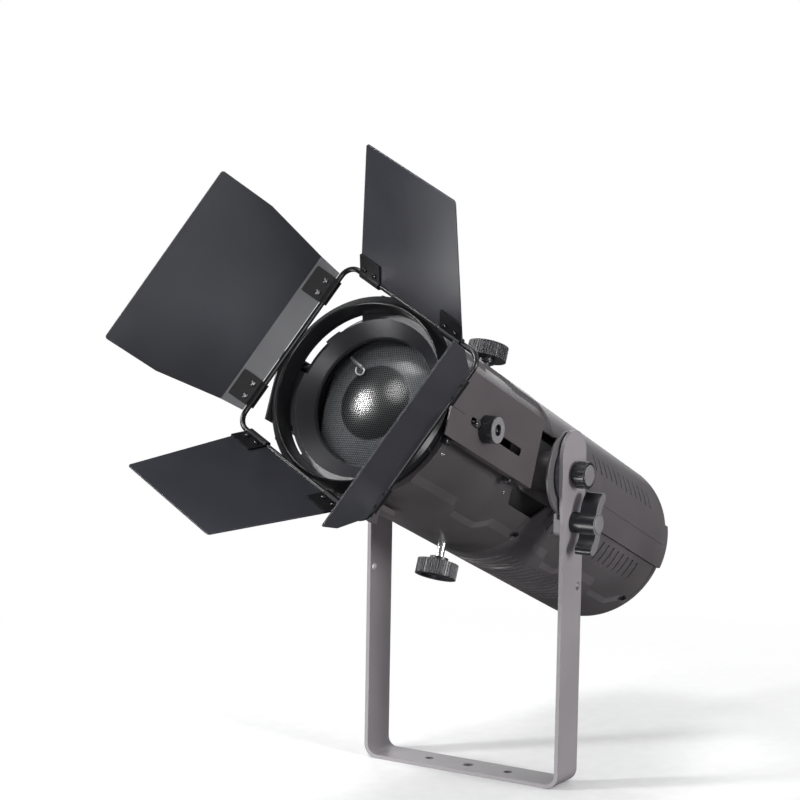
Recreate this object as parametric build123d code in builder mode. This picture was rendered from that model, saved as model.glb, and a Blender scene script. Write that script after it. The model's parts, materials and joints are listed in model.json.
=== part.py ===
from build123d import *
import os
from math import cos, radians, sin, sqrt

# LED profile spotlight: a tubular lamp head hung between the legs of a U-shaped yoke, with a
# rotating four-leaf barn door on its nose. The origin is the underside of the yoke's base bolt
# hole, the lamp points towards -Y and is tilted up, and +Z is up.

os.makedirs("parts", exist_ok=True)

# ---------------------------------------------------------------- driving dimensions (mm)
TILT = 22.2                  # nose up from level
PIVOT_HEIGHT = 304.0         # yoke base to tilt axis
YOKE_WIDTH = 220.0           # over the outside of both legs
STRAP_WIDTH = 40.0
STRAP_THICK = 4.0
HEAD_RADIUS = 24.0           # rounded end of a yoke leg
DISC_RADIUS = 41.0
STUD_RADIUS = 5.0
PIN_FIT = 0.05               # radial clearance of a running fit

HOUSING_RADIUS = 86.5        # outside of the rear housing
SHELL_RADIUS = 84.0          # recessed flanks of the shells
PAD_RADIUS = 87.0            # raised back and belly of the shells
SHELL_WALL = 3.0
SEAM = 0.4                   # gap between the two half shells
REAR_END = -276.0            # stations along the optical axis, forward of the pivot
SPLIT = -5.0                 # rear housing meets lens tube
TUBE_END = 195.0

PLATE_FACE = 96.0            # outside of the side plates
PLATE_REAR, PLATE_FRONT = 54.0, 225.0
PLATE_LOW, PLATE_TOP = -31.0, 36.0
SLOT_REAR, SLOT_FRONT, SLOT_LEVEL = 85.0, 187.0, -6.0
SLOT_WIDTH = 8.0
FOCUS_STATION = 160.0

RING_RADIUS = 92.6
LIP_RADIUS = 82.7
WIRE_RADIUS = 2.5
WIRE_HALF = 88.7             # optical axis to each side of the wire frame
WIRE_STATION = 232.2
DOOR_TURN = -27.2            # barn door turned about the optical axis
SHEET = 1.2                  # leaf thickness

TOP_KNOB_STATION = 22.0
BOTTOM_KNOB_STATION = 28.0

# ---------------------------------------------------------------- lamp frame of reference
X_AXIS = Vector(1, 0, 0)
FORWARD = Vector(0, -cos(radians(TILT)), sin(radians(TILT)))
UPWARD = Vector(0, sin(radians(TILT)), cos(radians(TILT)))
PIVOT = Vector(0, 0, PIVOT_HEIGHT)
OPTICAL_AXIS = Axis(PIVOT, FORWARD)
# Sketches on NOSE use (across, up), on FLANK (forward, up) and on DECK (forward, across).
NOSE = Plane(origin=PIVOT, x_dir=X_AXIS, z_dir=FORWARD)
FLANK = Plane(origin=PIVOT, x_dir=FORWARD, z_dir=X_AXIS * -1)
DECK = Plane(origin=PIVOT, x_dir=FORWARD, z_dir=UPWARD)


def lamp_point(across, up, forward):
    return PIVOT + X_AXIS * across + UPWARD * up + FORWARD * forward


def radial_plane(angle, radius=0.0):
    """Plane facing away from the optical axis; its x runs forward."""
    outward = X_AXIS * cos(radians(angle)) + UPWARD * sin(radians(angle))
    return Plane(origin=PIVOT + outward * radius, x_dir=FORWARD, z_dir=outward)


def turned(*profile, mode=Mode.ADD):
    """Turn a (station, radius) profile about the optical axis."""
    with BuildSketch(FLANK) as section:
        with BuildLine():
            Polyline(*profile, close=True)
        make_face()
    revolve(section.sketch, axis=OPTICAL_AXIS, mode=mode)


def tube(rear, front, outer, inner, mode=Mode.ADD):
    turned((rear, inner), (front, inner), (front, outer), (rear, outer), mode=mode)


def sector(rear, front, outer, inner, start, span, mode=Mode.ADD):
    """Part of a tube, from a start angle and over a span of degrees, seen from the nose."""
    reach = outer * 1.6
    with BuildSketch(NOSE.offset(rear)) as wedge:
        Circle(outer)
        Circle(inner, mode=Mode.SUBTRACT)
        with BuildLine():
            corners = [(0, 0)]
            steps = 4
            for step in range(steps + 1):
                angle = radians(start + span * step / steps)
                corners.append((reach * cos(angle), reach * sin(angle)))
            Polyline(*corners, close=True)
        make_face(mode=Mode.INTERSECT)
    extrude(wedge.sketch, amount=front - rear, mode=mode)


def lengthwise_slots(stations, angle, radius, long, wide, depth, across=True):
    """Cut a row of rounded slots through the wall at one angle."""
    with BuildSketch(radial_plane(angle, radius)) as row:
        for station in stations:
            with Locations((station, 0)):
                SlotOverall(long, wide, rotation=90 if across else 0)
    extrude(row.sketch, amount=-depth, mode=Mode.SUBTRACT)


def box(across, up, forward, mode=Mode.ADD):
    """Block between pairs of lamp co-ordinates."""
    with BuildSketch(NOSE.offset(forward[0])) as base:
        with Locations(((across[0] + across[1]) / 2, (up[0] + up[1]) / 2)):
            Rectangle(abs(across[1] - across[0]), abs(up[1] - up[0]))
    extrude(base.sketch, amount=forward[1] - forward[0], mode=mode)


def rod(plane, centre, radius, start, end, mode=Mode.ADD):
    """Round bar along a plane's normal between two offsets."""
    with BuildSketch(plane.offset(start)) as circle:
        with Locations(centre):
            Circle(radius)
    extrude(circle.sketch, amount=end - start, mode=mode)


def save(part, label):
    part.label = label
    export_step(part, f"parts/{label}.step")


# ---------------------------------------------------------------- yoke
INNER_FACE = YOKE_WIDTH / 2 - STRAP_THICK
BRAKE_DROP = 46.0            # tilt axis down to the brake stud
BRAKE_RADIUS = 4.0
EAR_DROP, EAR_SHIFT, EAR_RADIUS = 110.0, 12.4, 4.0
BASE_HOLE_RADIUS = 5.25
SIDE_HOLE_RADIUS, SIDE_HOLE_SPACING = 4.25, 90.0
BEND_RADIUS = 12.0
EAST = Plane.YZ              # sketches on it use (back, up)

with BuildPart() as yoke_strap:
    mid = YOKE_WIDTH / 2 - STRAP_THICK / 2
    leg_top = PIVOT_HEIGHT - 42
    with BuildSketch(Plane.XZ):
        with BuildLine():
            half = STRAP_THICK / 2
            FilletPolyline((-mid, leg_top), (-mid, half), (mid, half), (mid, leg_top),
                           radius=BEND_RADIUS)
        trace(line_width=STRAP_THICK)
    extrude(amount=STRAP_WIDTH / 2, both=True)
    for face in (INNER_FACE, -YOKE_WIDTH / 2):
        with BuildSketch(EAST.offset(face)):
            with Locations((0, PIVOT_HEIGHT + 18), (0, PIVOT_HEIGHT - 12)):
                Circle(HEAD_RADIUS)
            with Locations((0, leg_top - 2)):
                Rectangle(STRAP_WIDTH, 4)
            make_hull()
        extrude(amount=STRAP_THICK)
    for side in (1, -1):
        leg = EAST.offset(side * INNER_FACE)
        reach = side * STRAP_THICK
        rod(leg, (0, PIVOT_HEIGHT), STUD_RADIUS + PIN_FIT, 0, reach, Mode.SUBTRACT)
        rod(leg, (side * EAR_SHIFT, PIVOT_HEIGHT - EAR_DROP), EAR_RADIUS, 0, reach, Mode.SUBTRACT)
    rod(EAST.offset(INNER_FACE), (0, PIVOT_HEIGHT - BRAKE_DROP), BRAKE_RADIUS + 0.1,
        0, STRAP_THICK, Mode.SUBTRACT)
    with BuildSketch(Plane.XY):
        Circle(BASE_HOLE_RADIUS)
        with GridLocations(SIDE_HOLE_SPACING, 1, 2, 1):
            Circle(SIDE_HOLE_RADIUS)
    extrude(amount=STRAP_THICK, mode=Mode.SUBTRACT)
save(yoke_strap.part, "yoke_strap")

WASHER_RADIUS = 31.0
WASHER_THICK = 2.2
with BuildPart() as friction_washers:
    for side in (1, -1):
        face = EAST.offset(side * INNER_FACE)
        rod(face, (0, PIVOT_HEIGHT), WASHER_RADIUS, 0, -side * WASHER_THICK)
        rod(face, (0, PIVOT_HEIGHT), STUD_RADIUS + 1, 0, -side * WASHER_THICK, Mode.SUBTRACT)
save(friction_washers.part, "friction_washers")

DISC_FACE = 103.6
DISC_THICK = 3.0
JAW_WIDE, JAW_FOOT = 32.0, 58.0      # foot is below the tilt axis
JAW_INNER, JAW_STEP, JAW_OUTER = 97.2, 100.3, INNER_FACE - 0.1
with BuildPart() as brake_jaw:
    # a lip that hooks behind the disc's rim, a block below the disc, and a stud through the leg
    for inner, outer, top in ((JAW_INNER, JAW_STEP, 37), (JAW_STEP, JAW_OUTER, 42.4)):
        with BuildSketch(EAST.offset(inner)):
            with Locations((0, PIVOT_HEIGHT - (JAW_FOOT + top) / 2)):
                Rectangle(JAW_WIDE, JAW_FOOT - top)
        extrude(amount=outer - inner)
    chamfer(brake_jaw.edges().filter_by(Axis.X).group_by(Axis.Z)[0], 3)
    rod(EAST.offset(JAW_OUTER), (0, PIVOT_HEIGHT - BRAKE_DROP), BRAKE_RADIUS, 0, 22)
save(brake_jaw.part, "brake_jaw")

# ---------------------------------------------------------------- yoke knobs
KNOB_START = YOKE_WIDTH / 2 + 0.4
BRAKE_ARMS, BRAKE_FACE = 119.5, 136.6
CAP_SINK = 2.4
with BuildPart() as brake_knob:
    # An S-shaped wing knob: round hub, two swept arms, and a socket for its cap.
    with BuildSketch(EAST.offset(BRAKE_ARMS)) as wings:
        Circle(11)
        for turn in (0, 180):
            with BuildLine(Plane.XY.rotated((0, 0, turn))):
                ThreePointArc((0, 0), (2.0, 15), (10.5, 24.5))
            trace(line_width=10.5)
            tip = Vector(10.5, 24.5).rotate(Axis.Z, turn)
            with Locations(tip):
                Circle(4.2)
    extrude(wings.sketch, amount=BRAKE_FACE - BRAKE_ARMS)
    rod(EAST.offset(KNOB_START), (0, 0), 10, 0, BRAKE_ARMS - KNOB_START)
    rod(EAST.offset(KNOB_START), (0, 0), BRAKE_RADIUS + PIN_FIT, 0, 18.2, Mode.SUBTRACT)
    rod(EAST.offset(BRAKE_FACE), (0, 0), 9, 0, -CAP_SINK, Mode.SUBTRACT)
brake_knob_solid = Pos(0, 0, PIVOT_HEIGHT - BRAKE_DROP) * brake_knob.part
save(brake_knob_solid, "brake_knob")

with BuildPart() as brake_cap:
    rod(EAST.offset(BRAKE_FACE - CAP_SINK), (0, PIVOT_HEIGHT - BRAKE_DROP), 8.8, 0, CAP_SINK + 1)
    fillet(brake_cap.edges().sort_by(Axis.X)[-1], 0.9)
save(brake_cap.part, "brake_cap")


def fluted_knob(radius, height, flutes, groove, skirt=0.0):
    """Knob drawn along +Z from Z=0, with its grip fluted all round."""
    with BuildSketch() as grip:
        Circle(radius)
        with PolarLocations(radius + groove * 0.35, flutes):
            Circle(groove, mode=Mode.SUBTRACT)
    extrude(grip.sketch, amount=height)
    if skirt:
        with BuildSketch() as collar:
            Circle(skirt)
        extrude(collar.sketch, amount=-height * 0.25)


TILT_KNOB_RADIUS = 13.0
TILT_KNOB_GAP = 4.0          # collar between the leg and the grip
TILT_KNOB_GRIP = 11.5
TILT_CAP_SINK = 1.6
STUD_END = 118.0
with BuildPart() as tilt_knob:
    fluted_knob(TILT_KNOB_RADIUS, TILT_KNOB_GRIP, 18, 1.1)
    with BuildSketch():
        Circle(9)
    extrude(amount=-TILT_KNOB_GAP)
    chamfer(tilt_knob.faces().sort_by(Axis.Z)[-1].edges(), 0.5)
    with BuildSketch(Plane.XY.offset(-TILT_KNOB_GAP)):
        Circle(STUD_RADIUS + PIN_FIT)
    extrude(amount=STUD_END + 0.3 - KNOB_START, mode=Mode.SUBTRACT)
    with BuildSketch(Plane.XY.offset(TILT_KNOB_GRIP)):
        Circle(10.4)
    extrude(amount=-TILT_CAP_SINK, mode=Mode.SUBTRACT)
for side, label in ((1, "tilt_knob_near"), (-1, "tilt_knob_far")):
    seat = Plane(origin=(side * (KNOB_START + TILT_KNOB_GAP), 0, PIVOT_HEIGHT),
                 x_dir=(0, 1, 0), z_dir=(side, 0, 0))
    save(seat.location * tilt_knob.part, label)

with BuildPart() as tilt_cap_near:
    face = KNOB_START + TILT_KNOB_GAP + TILT_KNOB_GRIP
    rod(EAST.offset(face - TILT_CAP_SINK), (0, PIVOT_HEIGHT), 10.2, 0, TILT_CAP_SINK + 0.6)
    fillet(tilt_cap_near.edges().sort_by(Axis.X)[-1], 0.7)
save(tilt_cap_near.part, "tilt_cap_near")

# ---------------------------------------------------------------- pivots on the lamp head
FLAT = 70.0                  # flats of the gate housing
BOSS_RADIUS = 20.0
with BuildPart() as pivot_brackets:
    for side in (1, -1):
        start = FLANK.offset(-side * FLAT)
        with BuildSketch(start) as foot:
            RectangleRounded(76, 56, 6)
        extrude(foot.sketch, amount=-side * 4)
        rod(start, (0, 0), BOSS_RADIUS, -side * 4, -side * (DISC_FACE - DISC_THICK - FLAT))
        rod(start, (0, 0), STUD_RADIUS, -side * 20, -side * 40, Mode.SUBTRACT)
save(pivot_brackets.part, "pivot_brackets")

with BuildPart() as pivot_discs:
    for side in (1, -1):
        back = FLANK.offset(-side * (DISC_FACE - DISC_THICK))
        rod(back, (0, 0), DISC_RADIUS, 0, -side * DISC_THICK)
        rod(back, (0, 0), STUD_RADIUS, 0, -side * DISC_THICK, Mode.SUBTRACT)
    fillet(pivot_discs.edges().filter_by(GeomType.CIRCLE).group_by(SortBy.RADIUS)[-1], 0.8)
save(pivot_discs.part, "pivot_discs")

with BuildPart() as pivot_studs:
    for side in (1, -1):
        start = EAST.offset(side * (FLAT + 20))
        rod(start, (0, PIVOT_HEIGHT), STUD_RADIUS, 0, side * (STUD_END - FLAT - 20))
save(pivot_studs.part, "pivot_studs")

# ---------------------------------------------------------------- rear housing
UPPER_SLOTS = [-102 - 12.6 * n for n in range(12)]
LOWER_SLOTS = [-31 - 12.3 * n for n in range(18)]
BELLY_SLOTS = [-30 - 10.8 * n for n in range(16)]
BAND_DROP = -16.0            # lower edge of the smooth side band, degrees
INNER_RADIUS = SHELL_RADIUS - SHELL_WALL


def pad_edge(rear, front, waists):
    """Half width of the raised pad as (station, half width), narrowed at its waists."""
    wide, narrow, slope = 60.0, 54.0, 14.0
    edge = [(rear, wide)]
    for low, high in waists:
        edge += [(low - slope, wide), (low, narrow), (high, narrow), (high + slope, wide)]
    return edge + [(front, wide)]


def raised_pad(rear, front, waists, side):
    """Pad on the belly (side -1) or the back (side 1) with sloping edges."""
    edge = pad_edge(rear, front, waists)
    with BuildPart() as pad:
        for level, slope in ((57, 0), (89, 18)):
            with BuildSketch(DECK.offset(side * level)):
                with BuildLine():
                    Polyline(*[(station, half - slope) for station, half in edge],
                             *[(station, slope - half) for station, half in reversed(edge)],
                             close=True)
                make_face()
        loft(ruled=True)
        with BuildSketch(NOSE.offset(rear)) as ring:
            Circle(PAD_RADIUS)
            Circle(SHELL_RADIUS - 1, mode=Mode.SUBTRACT)
        extrude(ring.sketch, amount=front - rear, mode=Mode.INTERSECT)
    return pad.part


def half_only(side, rear, front):
    """Keep one half of a shell, a seam's width clear of the other."""
    reach = 2 * HOUSING_RADIUS
    with BuildSketch(NOSE.offset(rear)) as keep:
        with Locations((0, side * (reach / 2 + SEAM / 2))):
            Rectangle(2 * reach, reach)
    extrude(keep.sketch, amount=front - rear, mode=Mode.INTERSECT)


def gate_windows(side):
    """Openings in both flanks for the pivots and the gate."""
    if side > 0:
        outline = [(-45, 0), (-45, 36), (PLATE_REAR, 36), (PLATE_REAR, 0)]
    else:
        outline = [(-45, 0), (-45, -30), (-20, -30), (-8, -46), (44, -46), (PLATE_REAR, -36),
                   (PLATE_REAR, 0)]
    with BuildSketch(FLANK) as window:
        with BuildLine():
            Polyline(*outline, close=True)
        make_face()
    extrude(window.sketch, amount=2 * HOUSING_RADIUS, both=True, mode=Mode.SUBTRACT)


REAR_WAISTS = [(-246, -206), (-120, -92)]
with BuildPart() as rear_shell_upper:
    tube(REAR_END, SPLIT, HOUSING_RADIUS, INNER_RADIUS)
    half_only(1, REAR_END, SPLIT)
    for angle in (27, 153):
        lengthwise_slots(UPPER_SLOTS, angle, HOUSING_RADIUS + 1, 20, 3.6, 8)
    lengthwise_slots(BELLY_SLOTS, 90, HOUSING_RADIUS + 1, 46, 4, 8)
    gate_windows(1)
save(rear_shell_upper.part, "rear_shell_upper")

rear_pad = raised_pad(REAR_END, SPLIT, REAR_WAISTS, -1)
with BuildPart() as rear_shell_lower:
    tube(REAR_END, SPLIT, SHELL_RADIUS, INNER_RADIUS)
    for start in (BAND_DROP, 180):
        sector(REAR_END, SPLIT - 40, HOUSING_RADIUS, SHELL_RADIUS - 1, start, -BAND_DROP)
    add(rear_pad)
    half_only(-1, REAR_END, SPLIT)
    for angle in (-28, 208):
        lengthwise_slots(LOWER_SLOTS, angle, HOUSING_RADIUS + 1, 22, 3.6, 8)
        dimple_row = angle - 8 if angle < 0 else angle + 8
        with BuildSketch(radial_plane(dimple_row, SHELL_RADIUS)) as dimples:
            for station in LOWER_SLOTS:
                with Locations((station, 0)):
                    Circle(1.1)
        extrude(dimples.sketch, amount=-0.8, mode=Mode.SUBTRACT)
    lengthwise_slots(BELLY_SLOTS, -90, PAD_RADIUS + 1, 78, 4, 12)
    gate_windows(-1)
save(rear_shell_lower.part, "rear_shell_lower")

CAP_END = -284.0
PANEL_CENTRE, PANEL_WIDE, PANEL_HIGH = (0, 34), 88, 40
BUTTON_LEVEL = 23.0
BUTTON_COLUMNS = (-30, -10, 10, 30)
DISPLAY_CENTRE, INLET_CENTRE = (-21, 40), (26, 40)
SOCKET_COLUMNS, SOCKET_LEVEL = (-48, 48), -34.0
FAN_CENTRE = (0, -26)
with BuildPart() as rear_cap:
    turned((REAR_END, 0), (REAR_END, HOUSING_RADIUS), (REAR_END - 3, HOUSING_RADIUS),
           (CAP_END, HOUSING_RADIUS - 6), (CAP_END, 0))
    for side in (1, -1):
        with BuildSketch(NOSE.offset(REAR_END)) as ear:
            Circle(HOUSING_RADIUS)
            Circle(HOUSING_RADIUS - 7, mode=Mode.SUBTRACT)
            with Locations((side * HOUSING_RADIUS, 0)):
                Rectangle(40, 46, mode=Mode.INTERSECT)
        extrude(ear.sketch, amount=CAP_END - 2 - REAR_END)
    tube(REAR_END, REAR_END + 6, INNER_RADIUS - 0.1, INNER_RADIUS - 3)
    # air holes in rings round the fan, below the control recess
    with BuildSketch(NOSE.offset(REAR_END + 1)) as grille:
        for ring, count in ((12, 8), (20, 14), (28, 20)):
            with Locations(FAN_CENTRE):
                with PolarLocations(ring, count):
                    Circle(2.6)
    extrude(grille.sketch, amount=-12, mode=Mode.SUBTRACT)
    with BuildSketch(NOSE.offset(CAP_END)) as recess:
        with Locations(PANEL_CENTRE):
            RectangleRounded(PANEL_WIDE, PANEL_HIGH, 4)
    extrude(recess.sketch, amount=2.5, mode=Mode.SUBTRACT)
    with BuildSketch(NOSE.offset(CAP_END)) as holes:
        with Locations(DISPLAY_CENTRE):
            Rectangle(40.4, 17.4)
        with Locations(INLET_CENTRE):
            Rectangle(24.4, 17.4)
        with Locations(*[(across, BUTTON_LEVEL) for across in BUTTON_COLUMNS]):
            Circle(3.6)
        with Locations(*[(across, SOCKET_LEVEL) for across in SOCKET_COLUMNS]):
            Circle(12.1)
    extrude(holes.sketch, amount=10, mode=Mode.SUBTRACT)
save(rear_cap.part, "rear_cap")

BOARD_REAR = REAR_END + 3.5
with BuildPart() as display_board:
    # circuit board on three posts inside the cap, with its display and a switch per button
    box((-46, 44), (10, 29), (BOARD_REAR, BOARD_REAR + 1.6))
    box((-46, 3), (29, 52), (BOARD_REAR, BOARD_REAR + 1.6))
    box((-41, -1), (31.5, 48.5), (CAP_END + 1.2, BOARD_REAR))
    for post in ((-42, 14), (40, 14), (-43.5, 49.5)):
        rod(NOSE, post, 2, REAR_END, BOARD_REAR)
    for across in BUTTON_COLUMNS:
        box((across - 3, across + 3), (BUTTON_LEVEL - 3, BUTTON_LEVEL + 3),
            (BOARD_REAR - 0.8, BOARD_REAR))
save(display_board.part, "display_board")

BUTTONS = ("button_menu", "button_down", "button_up", "button_enter")
for across, label in zip(BUTTON_COLUMNS, BUTTONS):
    with BuildPart() as button:
        rod(NOSE, (across, BUTTON_LEVEL), 3.2, CAP_END + 0.6, REAR_END + 0.2)
        rod(NOSE, (across, BUTTON_LEVEL), 4.6, REAR_END + 0.2, REAR_END + 1.4)
        fillet(button.edges().filter_by(GeomType.CIRCLE).group_by(SortBy.RADIUS)[0]
               .sort_by(Axis(PIVOT, FORWARD))[0], 0.8)
    save(button.part, label)

with BuildPart() as power_inlet:
    box((14, 38), (31.5, 48.5), (CAP_END + 0.8, CAP_END + 26))
    box((16.5, 35.5), (34, 46), (CAP_END + 0.8, CAP_END + 18), Mode.SUBTRACT)
    for across, up in ((20.5, 38), (31.5, 38), (26, 42.5)):
        box((across - 1, across + 1), (up - 1.5, up + 1.5), (CAP_END + 8, CAP_END + 18))
save(power_inlet.part, "power_inlet")

with BuildPart() as signal_sockets:
    for across in SOCKET_COLUMNS:
        rod(NOSE, (across, SOCKET_LEVEL), 12.0, CAP_END + 0.2, CAP_END + 22)
        rod(NOSE, (across, SOCKET_LEVEL), 9.4, CAP_END + 0.2, CAP_END + 16, Mode.SUBTRACT)
        for turn in (90, 210, 330):
            centre = (across + 4.6 * cos(radians(turn)), SOCKET_LEVEL + 4.6 * sin(radians(turn)))
            rod(NOSE, centre, 1.3, CAP_END + 8, CAP_END + 16)
save(signal_sockets.part, "signal_sockets")

# ---------------------------------------------------------------- light engine and cooling
FAN_REAR, FAN_FRONT = REAR_END, REAR_END + 20
FAN_PIN = 1.6
with BuildPart() as fan_frame:
    with BuildSketch(NOSE.offset(FAN_REAR)) as frame_section:
        with Locations(FAN_CENTRE):
            RectangleRounded(70, 70, 5)
            Circle(32.5, mode=Mode.SUBTRACT)
            with GridLocations(60, 60, 2, 2):
                Circle(2.2, mode=Mode.SUBTRACT)
    extrude(frame_section.sketch, amount=FAN_FRONT - FAN_REAR)
    with BuildSketch(NOSE.offset(FAN_FRONT - 3)) as spider:
        with Locations(FAN_CENTRE):
            Circle(11)
            with PolarLocations(21, 4, start_angle=45):
                Rectangle(26, 4)
    extrude(spider.sketch, amount=3)
    rod(NOSE, FAN_CENTRE, FAN_PIN, FAN_REAR + 4, FAN_FRONT - 3)
save(fan_frame.part, "fan_frame")

with BuildPart() as fan_rotor:
    Cylinder(13, 15)
    with PolarLocations(21.6, 7):
        Box(19, 12, 1.2, rotation=(32, 0, 0))
    Cylinder(FAN_PIN + PIN_FIT, 30, mode=Mode.SUBTRACT)
fan_seat = Plane(origin=lamp_point(*FAN_CENTRE, FAN_REAR + 9), x_dir=X_AXIS, z_dir=FORWARD)
save(fan_seat.location * fan_rotor.part, "fan_rotor")

SINK_REAR, SINK_FRONT = -246.0, -132.0
with BuildPart() as heat_sink:
    rod(NOSE, (0, 0), 22, SINK_REAR, SINK_FRONT)
    tube(SINK_FRONT - 8, SINK_FRONT, 74, 10)
    for start in (38, 128, 218, 308):
        sector(SINK_FRONT - 8, SINK_FRONT, INNER_RADIUS - 0.1, 70, start, 14)
    with BuildSketch(NOSE.offset(SINK_REAR)) as fins:
        with PolarLocations(0, 30):
            with Locations((46, 0)):
                Rectangle(52, 1.8)
    extrude(fins.sketch, amount=SINK_FRONT - SINK_REAR - 1)
save(heat_sink.part, "heat_sink")

with BuildPart() as led_module:
    with BuildSketch(NOSE.offset(SINK_FRONT)) as board:
        RectangleRounded(46, 46, 3)
    extrude(board.sketch, amount=2)
    rod(NOSE, (0, 0), 14, SINK_FRONT + 2, SINK_FRONT + 3.2)
save(led_module.part, "led_module")

with BuildPart() as condenser_holder:
    turned((SINK_FRONT, 34), (SINK_FRONT, 40), (-70, 62), (-62, 62), (-62, 56), (-70, 55))
save(condenser_holder.part, "condenser_holder")

with BuildPart() as condenser_lens:
    with BuildSketch(FLANK) as lens_section:
        with BuildLine():
            Polyline((-62, 55.5), (-66, 54), (-66, 0), (-44, 0))
            ThreePointArc((-44, 0), (-48.2, 28), (-62, 55.5))
        make_face()
    revolve(lens_section.sketch, axis=OPTICAL_AXIS)
save(condenser_lens.part, "condenser_lens")

with BuildPart() as driver_box:
    box((-30, 30), (63, 74.5), (-120, -60))
    fillet(driver_box.edges().filter_by(lambda edge: edge.length > 50), 1.5)
    for station in (-108, -72):
        rod(DECK, (station, 0), 4, 74, INNER_RADIUS - 0.2)
save(driver_box.part, "driver_box")

# ---------------------------------------------------------------- gate
GATE_REAR, GATE_FRONT = -50.0, 60.0
with BuildPart() as gate_housing:
    with BuildSketch(NOSE.offset(GATE_REAR)) as gate_section:
        Circle(76)
        Rectangle(2 * FLAT, 160, mode=Mode.INTERSECT)
        Circle(66, mode=Mode.SUBTRACT)
    extrude(gate_section.sketch, amount=GATE_FRONT - GATE_REAR)
    for rear, front in ((GATE_REAR, GATE_REAR + 4), (GATE_FRONT - 4, GATE_FRONT)):
        tube(rear, front, INNER_RADIUS - 0.1, 66)
    for side, station in ((1, TOP_KNOB_STATION), (-1, BOTTOM_KNOB_STATION)):
        rod(DECK, (station, 0), 11, side * 70, side * (INNER_RADIUS - 1))
        rod(DECK, (station, 0), 4.05, side * 60, side * 90, Mode.SUBTRACT)
save(gate_housing.part, "gate_housing")

with BuildPart() as gate_plate:
    tube(6, 9, 66, 37.5)
save(gate_plate.part, "gate_plate")

# ---------------------------------------------------------------- lens tube
ROD_RADIUS = 4.0
ROD_CIRCLE = 72.0
ROD_ANGLES = (45, 135, 270)
TUBE_WAISTS = [(58, 100)]


def lens_tube(side, pad):
    """Half shell of the lens tube with its raised pad, end wall and focus window."""
    front = TUBE_END
    tube(SPLIT + SEAM, front, SHELL_RADIUS, INNER_RADIUS)
    tube(front - 3, front, SHELL_RADIUS, 76.2)
    add(pad)
    half_only(side, SPLIT, front)
    gate_windows(side)
    with BuildSketch(FLANK) as window:
        with Locations(((SLOT_REAR + SLOT_FRONT) / 2, SLOT_LEVEL)):
            Rectangle(SLOT_FRONT - SLOT_REAR + 6, 22)
    extrude(window.sketch, amount=-2 * HOUSING_RADIUS, mode=Mode.SUBTRACT)
    station = TOP_KNOB_STATION if side > 0 else BOTTOM_KNOB_STATION
    rod(DECK, (station, 0), 4.4, side * 60, side * 100, Mode.SUBTRACT)


tube_back = raised_pad(SPLIT + SEAM, TUBE_END, TUBE_WAISTS, 1)
with BuildPart() as lens_tube_upper:
    lens_tube(1, tube_back)
save(lens_tube_upper.part, "lens_tube_upper")

tube_belly = raised_pad(SPLIT + SEAM, TUBE_END, TUBE_WAISTS, -1)
with BuildPart() as lens_tube_lower:
    lens_tube(-1, tube_belly)
save(lens_tube_lower.part, "lens_tube_lower")

PLATE_THICK = 1.5
LIP_DEPTH = 8.0
SLIT_LEVEL = -4.5


def side_plate(side, slotted):
    """Channel-shaped plate along one flank of the lens tube, lips turned inwards."""
    outer, inner = side * PLATE_FACE, side * (PLATE_FACE - PLATE_THICK)
    lip = side * (PLATE_FACE - LIP_DEPTH)
    box((inner, outer), (PLATE_LOW, PLATE_TOP), (PLATE_REAR, PLATE_FRONT))
    box((lip, inner), (PLATE_LOW, PLATE_LOW + PLATE_THICK), (PLATE_REAR, TUBE_END + 8))
    box((lip, inner), (PLATE_TOP - PLATE_THICK, PLATE_TOP), (PLATE_REAR, TUBE_END + 8))
    box((lip, inner), (PLATE_LOW, PLATE_TOP), (PLATE_REAR, PLATE_REAR + PLATE_THICK))
    if slotted:
        # fine slit from the front edge back to the fold of the lips
        box((inner, outer), (SLIT_LEVEL - 0.2, SLIT_LEVEL + 0.2), (TUBE_END + 5, PLATE_FRONT),
            Mode.SUBTRACT)
        with BuildSketch(FLANK.offset(-inner)) as slot:
            with Locations(((SLOT_REAR + SLOT_FRONT) / 2, SLOT_LEVEL)):
                SlotOverall(SLOT_FRONT - SLOT_REAR, SLOT_WIDTH)
        extrude(slot.sketch, amount=-side * 4, mode=Mode.SUBTRACT)


with BuildPart() as side_plate_near:
    side_plate(1, True)
save(side_plate_near.part, "side_plate_near")

with BuildPart() as side_plate_far:
    side_plate(-1, False)
save(side_plate_far.part, "side_plate_far")

STANDOFFS = [(station, level) for station in (66, 192) for level in (-24, 28)]
with BuildPart() as plate_standoffs:
    for side in (1, -1):
        for station, level in STANDOFFS:
            foot = sqrt(SHELL_RADIUS ** 2 - (abs(level) - 4.5) ** 2) + 0.05
            rod(FLANK, (station, level), 4.5, -side * foot, -side * (PLATE_FACE - PLATE_THICK))
save(plate_standoffs.part, "plate_standoffs")

with BuildPart() as guide_rods:
    for angle in ROD_ANGLES:
        centre = (ROD_CIRCLE * cos(radians(angle)), ROD_CIRCLE * sin(radians(angle)))
        rod(NOSE, centre, ROD_RADIUS, GATE_FRONT, TUBE_END - 2)
save(guide_rods.part, "guide_rods")

BEZEL_RIM = 82.0
with BuildPart() as front_bezel:
    turned((TUBE_END - 2, 73.5), (TUBE_END - 2, 76), (210.5, 76), (210.5, BEZEL_RIM),
           (213, BEZEL_RIM), (213, 75), (202, 61.6), (200, 60.2), (198.6, 60.2), (198.6, 61.8),
           (208.5, 73.5))
    # cut-backs round the rim, between the parts that carry the ring
    for start, span, depth in ((108, 19, 74.7), (127, 12, 76.3), (139, 26, 72.8), (203, 23, 79.4)):
        sector(210.4, 213.1, BEZEL_RIM + 1, depth, start, span, Mode.SUBTRACT)
save(front_bezel.part, "front_bezel")

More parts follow.
